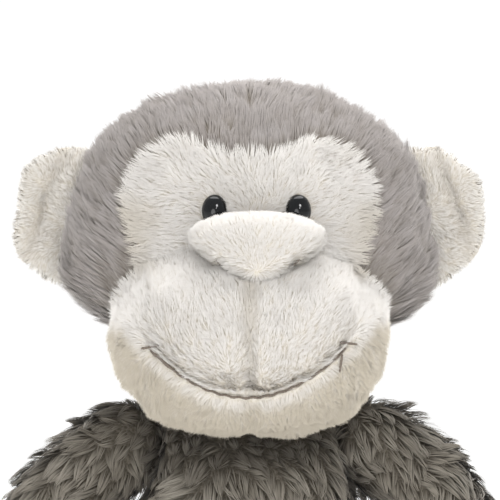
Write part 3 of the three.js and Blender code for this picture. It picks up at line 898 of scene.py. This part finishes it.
def combEar(sign):
    def comb(roots, up):
        x, y, z = roots.T
        flow = np.stack([x - sign * 66, np.full_like(x, -3.0), z - 274], 1)
        flow = unit(flow)
        flow[:, 0] += 0.4 * waves(roots, 12, 71)
        flow[:, 2] += 0.4 * waves(roots, 12, 72)
        return flow
    return comb


# painted shade along the ear's crease and on its half next to the head
def earShade(sign):
    def tint(roots):
        x, z = roots[:, 0] * sign - ear["centre"][0], roots[:, 2] - ear["centre"][2]
        return 0.3 - 0.45 * np.exp(-(((x - 12 + 0.35 * z) / 3.0) ** 2)) - 0.3 * (1 - fade(x, -6, 6))
    return tint


def makeEar(side, sign):
    rays, quads = quadBall(ear["detail"])
    centre = np.array(ear["centre"]) * (sign, 1, 1)
    out, depth, rise = rays[:, 0] * sign, rays[:, 1], rays[:, 2]
    verts = rays * np.array(ear["half"])
    away = np.hypot(verts[:, 0] * sign - ear["dishAt"][0], verts[:, 2] - ear["dishAt"][1])
    verts[:, 1] += ear["dish"] * np.exp(-((away / ear["dishSize"]) ** 2)) * (depth < 0)
    verts[:, 1] -= ear["curl"] * fade(out, 0.3, 1.0) * fade(np.abs(rise), 0.0, 1.2)
    crease = (verts[:, 0] * sign - 12 + 0.35 * verts[:, 2]) / 2.6
    verts[:, 1] += ear["crease"] * np.exp(-(crease ** 2)) * (depth < 0) * fade(rise, -0.9, 0.2)
    verts[:, 0] += sign * 1.2 * waves(verts, 22, 73)
    verts[:, 2] += 0.8 * waves(verts, 18, 74)
    verts += centre
    up = vertexNormals(verts, quads)
    front = rays[quads].mean(1)[:, 1] < 0
    body = "ear_" + side
    spec = dict(muzzlePile, comb=combEar(sign), length=3.6, density=3.4, edgeLoss=0.1)
    for face, faces in (("front", quads[front]), ("back", quads[~front])):
        name = f"ear_{side}_{face}"
        pelt(name + "_pelt", verts, faces, ear["thickness"], creamBacking, body, [name])
        growPile(
            name + "_pile", verts, faces, up, spec, earFibre, body, 150 + len(name),
            lambda roots: headField(roots) > 0, earShade(sign) if face == "front" else None,
        )


makeEar("left", 1)
makeEar("right", -1)
print("ears")


# safety eyes: a glossy dome on its shank, clamped by the washer inside

eye = {
    "half": (4.8, 4.2, 6.1),
    "stand": 1.8,
    "shankRadius": 1.6,
    "shankLength": 9.0,
}


def eyeMaterial():
    material, shader, _ = cloudyMaterial("eye_black", 400, (0.002, 0.0025, 0.003), (0.006, 0.007, 0.008))
    shader.inputs["Roughness"].default_value = 0.08
    shader.inputs["Specular IOR Level"].default_value = 0.3
    return material


eyeBlack = eyeMaterial()


def makeEye(side, x, z):
    front = headVerts[headVerts[:, 1] < 0]
    nearest = front[np.argmin(np.hypot(front[:, 0] - x, front[:, 2] - z))]
    rays, quads = quadBall(20)
    out = unit(np.array([x * 0.25, -60.0, 4.0]))
    across = unit(np.cross(out, [0, 0, 1]))
    rise = np.cross(across, out)
    basis = np.stack([across, out, rise])
    verts = rays * np.array(eye["half"])
    shank = verts[:, 1] < -eye["half"][1] * 0.55
    slim = np.minimum(1, eye["shankRadius"] / np.maximum(np.hypot(verts[:, 0], verts[:, 2]), 1e-6))
    inward = np.hypot(rays[:, 0], rays[:, 2])
    verts[shank, 1] -= eye["shankLength"] * fade(1 - inward[shank], 0.45, 0.7)
    for axis in (0, 2):
        verts[shank, axis] *= slim[shank] ** fade(1 - inward[shank], 0.3, 0.5)
    place = np.array([x, nearest[1] - eye["stand"], z])
    thing = makeObject(f"eye_{side}_dome", verts @ basis + place, quads)
    thing.data.materials.append(eyeBlack)
    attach(thing, "head")
    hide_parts(f"eye_{side}")


makeEye("right", *eyes[0])
makeEye("left", *eyes[1])


# stitching: a two-ply thread laid along each seam

thread = {"radius": 0.3, "twist": 2.2}


def threadMaterial():
    material, shader, _ = cloudyMaterial("taupe_thread", 1500, (0.07, 0.055, 0.043), (0.19, 0.155, 0.125))
    shader.inputs["Roughness"].default_value = 0.75
    return material


taupeThread = threadMaterial()


# a round strand that thins out at both ends
def tubeAlong(path, radius, sides=6):
    ahead = unit(np.gradient(path, axis=0))
    side = unit(np.cross(ahead, [0.0, -1.0, 0.05]))
    rise = np.cross(side, ahead)
    turn = np.linspace(0, 2 * math.pi, sides, endpoint=False)
    ring = side[:, None] * np.cos(turn)[None, :, None] + rise[:, None] * np.sin(turn)[None, :, None]
    ends = np.minimum(np.arange(len(path)), np.arange(len(path))[::-1])
    thick = radius * np.clip((ends + 0.4) / 2, 0.3, 1)
    verts = path[:, None] + ring * thick[:, None, None]
    at = np.arange(len(path) * sides).reshape(len(path), sides)
    on = np.roll(at, -1, axis=1)
    quads = np.stack([at[:-1], on[:-1], on[1:], at[1:]], -1).reshape(-1, 4)
    return verts.reshape(-1, 3), quads


def ply(path):
    step = np.linalg.norm(np.diff(path, axis=0), axis=1)
    length = np.concatenate([[0], np.cumsum(step)])
    count = max(6, int(length[-1] / 0.35))
    along = np.linspace(0, length[-1], count)
    path = np.stack([np.interp(along, length, path[:, k]) for k in range(3)], 1)
    ahead = unit(np.gradient(path, axis=0))
    side = unit(np.cross(ahead, [0.0, -1.0, 0.05]))
    rise = np.cross(side, ahead)
    strands = []
    for phase in (0, math.pi):
        turn = along / thread["twist"] * 2 * math.pi + phase
        off = side * np.cos(turn)[:, None] + rise * np.sin(turn)[:, None]
        strands.append(tubeAlong(path + off * thread["radius"] * 0.75, thread["radius"]))
    return strands


# points that stand off the front of the head
def onHead(x, z, stand):
    front = headVerts[headVerts[:, 1] < -20]
    depth = np.empty(len(x))
    for k in range(len(x)):
        gap = np.hypot(front[:, 0] - x[k], front[:, 2] - z[k])
        near = np.argsort(gap)[:4]
        weight = 1 / (gap[near] + 0.2)
        depth[k] = (front[near, 1] * weight).sum() / weight.sum()
    return np.stack([x, depth - stand, z], 1)


def makeThread(name, paths, body, node):
    verts, quads, count = [], [], 0
    for path in paths:
        for more, faces in ply(path):
            verts.append(more)
            quads.append(faces + count)
            count += len(more)
    thing = makeObject(name, np.concatenate(verts), np.concatenate(quads))
    thing.data.materials.append(taupeThread)
    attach(thing, body)
    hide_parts(node)


def makeStitches():
    x = np.linspace(-36.5, 35.5, 90)
    smile = onHead(x, smileHeight(x) + 0.25 * np.sin(x * 1.3), 0.9)
    paths = [smile]
    for sign, turn in ((-1, 0.2), (1, -0.15)):
        reach = np.linspace(-1, 1, 10)
        centre = sign * 36.5
        end = smileHeight(np.array([centre]))[0]
        paths.append(onHead(centre + 3.2 * reach, end + 0.8 + turn * 3 * reach, 2.2))
    paths.append(onHead(33.6 + 0.5 * np.linspace(-1, 1, 10), 219.6 + 3.4 * np.linspace(-1, 1, 10), 2.2))
    paths.append(onHead(-31.5 + 3.6 * np.linspace(-1, 1, 10), 220.4 - 3.0 * np.linspace(-1, 1, 10), 2.0))
    makeThread("mouth_stitch_thread", paths, "head", "mouth_stitch")
    for side, sign in (("left", 1), ("right", -1)):
        t = np.linspace(0, 1, 12)
        stitch = nosePoint(nose["centre"][0] + sign * (15.5 - 4.5 * t), nose["centre"][2] - 1.5 - 5.0 * t)
        makeThread(f"nostril_stitch_{side}_thread", [stitch], "head", f"nostril_stitch_{side}")
    print("stitching")


# points just off the front of the nose pad
def nosePoint(x, z):
    depth = np.full(len(x), -50.0)
    for _ in range(400):
        points = np.stack([x, depth, z], 1)
        inside = np.minimum(noseField(points), headField(points)) < 0
        depth = np.where(inside, depth - 0.12, depth)
    return np.stack([x, depth - 1.3, z], 1)


makeStitches()


# stuffed covers: the sewn shape of a body part, blown out by its filling

stuffing = {
    "voxel": 5.0,
    "shrink": 3.0,
    "pressure": 4.0,
    "steps": 20,
    "soften": 3,
    "torsoCap": 6.0,
    "limbCap": 5.0,
    "tailCap": 2.0,
    "torsoGap": 0.8,
    "limbGap": 1.5,
    "seatHeight": 13.0,
    "peltThickness": 2.6,
    "armLean": 3.0,
    "leanFrom": 105.0,
    "leanTo": 135.0,
}


def gatherNodes(names):
    verts, tris, count = [], [], 0
    for name in names:
        mesh = frame["nodes"][name].data
        mesh.calc_loop_triangles()
        co = np.empty(len(mesh.vertices) * 3, np.float32)
        mesh.vertices.foreach_get("co", co)
        tri = np.empty(len(mesh.loop_triangles) * 3, np.int32)
        mesh.loop_triangles.foreach_get("vertices", tri)
        verts.append(co.reshape(-1, 3) / mm)
        tris.append(tri.reshape(-1, 3) + count)
        count += len(mesh.vertices)
    return np.concatenate(verts), np.concatenate(tris)


def meshArrays(thing):
    mesh = thing.data
    co = np.empty(len(mesh.vertices) * 3, np.float32)
    mesh.vertices.foreach_get("co", co)
    corners = np.empty(len(mesh.loops), np.int32)
    mesh.loops.foreach_get("vertex_index", corners)
    return co.reshape(-1, 3).astype(float) / mm, corners.reshape(-1, 4)


def soften(verts, quads, rounds, share=0.6):
    for _ in range(rounds):
        total = np.zeros_like(verts)
        count = np.zeros(len(verts))
        for k in range(4):
            for near in (1, 3):
                np.add.at(total, quads[:, k], verts[quads[:, (k + near) % 4]])
                np.add.at(count, quads[:, k], 1)
        verts = verts + (total / count[:, None] - verts) * share
    return verts


# one even skin round the named solids, drawn in a little
def remeshed(names, voxel, inset):
    verts, tris = gatherNodes(names)
    thing = makeObject("rough", verts, tris)
    grid = thing.modifiers.new("grid", "REMESH")
    grid.mode = "VOXEL"
    grid.voxel_size = voxel * mm
    keepModifiers(thing)
    verts, quads = meshArrays(thing)
    verts = soften(verts, quads, 2)
    return thing, verts - vertexNormals(verts, quads) * inset, quads


def discard(thing):
    mesh = thing.data
    bpy.data.objects.remove(thing)
    bpy.data.meshes.remove(mesh)


# a cloth cover over the named solids, blown out by at most cap
def blownOut(names, cap):
    thing, start, quads = remeshed(names, stuffing["voxel"], stuffing["shrink"])
    verts = start
    thing.data.vertices.foreach_set("co", (start * mm).astype(np.float32).ravel())
    thing.data.update()
    cloth = thing.modifiers.new("filling", "CLOTH")
    cloth.settings.use_pressure = True
    cloth.settings.uniform_pressure_force = stuffing["pressure"]
    cloth.settings.effector_weights.gravity = 0
    cloth.settings.quality = 4
    cloth.point_cache.frame_start = 1
    cloth.point_cache.frame_end = stuffing["steps"]
    for step in range(1, stuffing["steps"] + 1):
        bpy.context.scene.frame_set(step)
    keepModifiers(thing)
    bpy.context.scene.frame_set(1)
    moved, quads = meshArrays(thing)
    shift = moved - start
    far = np.linalg.norm(shift, axis=1, keepdims=True)
    verts = start + shift * np.minimum(1, cap / np.maximum(far, 1e-6))
    verts = soften(verts, quads, stuffing["soften"])
    discard(thing)
    return subdivided(verts, quads)


def subdivided(verts, quads):
    thing = makeObject("smooth", verts, quads)
    finer = thing.modifiers.new("finer", "SUBSURF")
    finer.levels = 1
    keepModifiers(thing)
    verts, quads = meshArrays(thing)
    discard(thing)
    return verts, quads


# the body's longer pile, laid in waves and parted into locks

def combBody(roots, up):
    x, y, z = roots.T
    side = np.tanh(x / 30)
    flow = np.stack([0.55 * side, np.full_like(x, -0.15), np.full_like(x, -0.8)], 1)
    flow[:, 0] += 0.55 * waves(roots, 36, 81)
    flow[:, 1] += 0.4 * waves(roots, 36, 82)
    flow[:, 2] += 0.35 * waves(roots, 30, 83)
    return flow


def combLeg(roots, up):
    x, y, z = roots.T
    flow = np.stack([0.2 * np.tanh(x / 30), np.full_like(x, -1.0), np.full_like(x, -0.3)], 1)
    flow[:, 0] += 0.5 * waves(roots, 36, 84)
    flow[:, 2] += 0.5 * waves(roots, 30, 85)
    return flow


def combTail(roots, up):
    x, y, z = roots.T
    flow = np.stack([fade(y, 80, 120), np.full_like(x, 1.0) - fade(y, 80, 120), 0 * x], 1)
    return flow + 0.3 * waves(roots, 20, 86)[:, None]


longPile = {
    "density": 1.15, "length": 13.0, "width": 0.5, "segments": 3,
    "lift": 0.31, "rootLift": 0.2, "droop": 0.32, "comb": combBody, "roll": 0.2, "rough": 0.8, "mottle": 0.7,
    "lock": 11.0, "tuft": 4.6, "lockTurn": 0.35, "tuftTurn": 0.18, "stray": 0.09, "lengthAt": even,
    "evened": 0.3, "lockEdge": 0.5, "edgeLoss": 0.5, "lockHeight": 0.10, "gather": 0.8, "partingShade": 0.35,
}


# roots that lie outside the given closed shapes
def outside(*shapes):
    trees = []
    for verts, quads in shapes:
        corners = [tuple(v) for v in verts]
        trees.append(BVHTree.FromPolygons(corners, [tuple(q) for q in quads.tolist()]))

    def keep(roots):
        stays = np.ones(len(roots), bool)
        for tree in trees:
            for k, root in enumerate(roots):
                if stays[k]:
                    spot, normal, _, gap = tree.find_nearest(Vector(root), 12)
                    if spot is not None and gap > 2.0 and (Vector(root) - spot).dot(normal) < 0:
                        stays[k] = False
        return stays
    return keep


# the long pile is clipped short where the head rests over it
def underHead(roots):
    return 1 - 0.6 * fade(-headField(roots), -18, -4) * fade(-roots[:, 1], -10, 10)


def clothe(verts, quads, panels, body, fibre, backing, spec, seed, keep=None):
    up = vertexNormals(verts, quads)
    for name, (faces, cream) in panels.items():
        seed += 1
        lining = creamBacking if cream else backing
        pelt(name + "_pelt", verts, quads[faces], stuffing["peltThickness"], lining, body, [name])
        pile = dict(muzzlePile, comb=spec["comb"]) if cream else spec
        growPile(
            name + "_pile", verts, quads[faces], up, pile,
            creamFibre if cream else fibre, body, seed, keep,
        )


def mirrored(verts, quads):
    return verts * (-1, 1, 1), quads[:, ::-1]


# whether points lie in the rounded form that fills a node's box
def inEllipsoid(points, node, grow):
    low, high = boxOf(node)
    return ellipsoidField(points, (low + high) / 2, (high - low) / 2 + grow) < 0


def makeBody():
    torso = blownOut([
        "seat_panel", "belly_panel", "back_panel_left", "back_panel_right",
        "torso_stuffing", "bean_pouch",
    ], stuffing["torsoCap"])
    arm = blownOut(["arm_left", "hand_left", "arm_stuffing_left"], stuffing["limbCap"])
    leg = blownOut(["leg_left", "foot_left", "sole_left", "leg_stuffing_left"], stuffing["limbCap"])
    print("body: torso, arm and leg covers filled out", len(torso[0]), len(arm[0]), len(leg[0]))
    # the top of the arm leans on the side of the chest, so no light shows between them
    arm[0][:, 0] -= stuffing["armLean"] * fade(arm[0][:, 2], stuffing["leanFrom"], stuffing["leanTo"])
    arms = {"left": arm, "right": mirrored(*arm)}
    legs = {"left": leg, "right": mirrored(*leg)}

    verts, quads = torso
    verts[:, 2] = np.maximum(verts[:, 2], stuffing["torsoGap"])
    x, y, z = verts[quads].mean(1).T
    seat = z < stuffing["seatHeight"]
    panels = {
        "seat_panel": (seat, False),
        "belly_panel": (~seat & (y < 0), False),
        "back_panel_left": (~seat & (y >= 0) & (x >= 0), False),
        "back_panel_right": (~seat & (y >= 0) & (x < 0), False),
    }
    keep = outside(arms["left"], arms["right"], legs["left"], legs["right"])
    spec = dict(longPile, lengthAt=underHead)
    clothe(verts, quads, panels, "torso", bodyFibre, bodyBacking, spec, 200, keep)

    keep = outside(torso)
    for side in ("left", "right"):
        verts, quads = arms[side]
        hand = inEllipsoid(verts[quads].mean(1), f"hand_{side}", 1.0)
        panels = {f"arm_{side}": (~hand, False), f"hand_{side}": (hand, True)}
        clothe(verts, quads, panels, f"arm_{side}", bodyFibre, bodyBacking, longPile, 220, keep)

        verts, quads = legs[side]
        verts[:, 2] = np.maximum(verts[:, 2], stuffing["limbGap"])
        centre = verts[quads].mean(1)
        foot = inEllipsoid(centre, f"foot_{side}", 2.0) | inEllipsoid(centre, f"sole_{side}", 2.0)
        sole = foot & (centre[:, 1] < boxOf(f"foot_{side}")[0][1])
        panels = {
            f"leg_{side}": (~foot, False),
            f"foot_{side}": (foot & ~sole, False),
            f"sole_{side}": (sole, True),
        }
        spec = dict(longPile, comb=combLeg)
        clothe(verts, quads, panels, f"leg_{side}", bodyFibre, bodyBacking, spec, 240, keep)

    verts, quads = blownOut(["tail"], stuffing["tailCap"])
    verts[:, 2] = np.maximum(verts[:, 2], stuffing["limbGap"])
    spec = dict(longPile, comb=combTail, length=9.0, lock=8.0)
    every = {"tail": (np.ones(len(quads), bool), False)}
    clothe(verts, quads, every, "tail", bodyFibre, bodyBacking, spec, 260, keep)
    print("body: pelts and long pile")


bodyBacking = backingMaterial("body_backing", bodyPile)
makeBody()


# inside: polyester filling, the pouch of pellets and the ball that joins the neck

def makeInsides():
    filling = backingMaterial("white_filling", {"root": (0.62, 0.60, 0.56), "dark": (0.85, 0.84, 0.82)})
    pouch = backingMaterial("pellet_pouch", {"root": (0.42, 0.38, 0.32), "dark": (0.66, 0.61, 0.52)})
    # for each filling: its body, its material and how far it is drawn in
    inner = {
        "head_stuffing": ("head", filling, 5.0),
        "torso_stuffing": ("torso", filling, 6.0),
        "bean_pouch": ("torso", pouch, 5.0),
        "arm_stuffing_left": ("arm_left", filling, 4.0),
        "arm_stuffing_right": ("arm_right", filling, 4.0),
        "leg_stuffing_left": ("leg_left", filling, 4.0),
        "leg_stuffing_right": ("leg_right", filling, 4.0),
        "neck_core": ("neck", bodyBacking, 0.5),
    }
    for node, (body, material, inset) in inner.items():
        rough, verts, quads = remeshed([node], 4.0, inset)
        discard(rough)
        verts = verts + vertexNormals(verts, quads) * (0.7 * waves(verts, 14, 91))[:, None]
        thing = makeObject(node + "_form", verts, quads)
        thing.data.materials.append(material)
        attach(thing, body)
        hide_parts(node)
        if node == "neck_core":
            spec = dict(longPile, length=8.0, density=1.6)
            growPile(node + "_pile", verts, quads, vertexNormals(verts, quads), spec, bodyFibre, body, 290)
    for side in ("left", "right"):
        washer = frame["nodes"][f"eye_washer_{side}"]
        washer.data.materials.clear()
        washer.data.materials.append(washerPlastic)
    print("inside: filling, pellet pouch and neck")


washerPlastic = backingMaterial("white_washer", {"root": (0.70, 0.69, 0.66), "dark": (0.80, 0.79, 0.76)})
makeInsides()
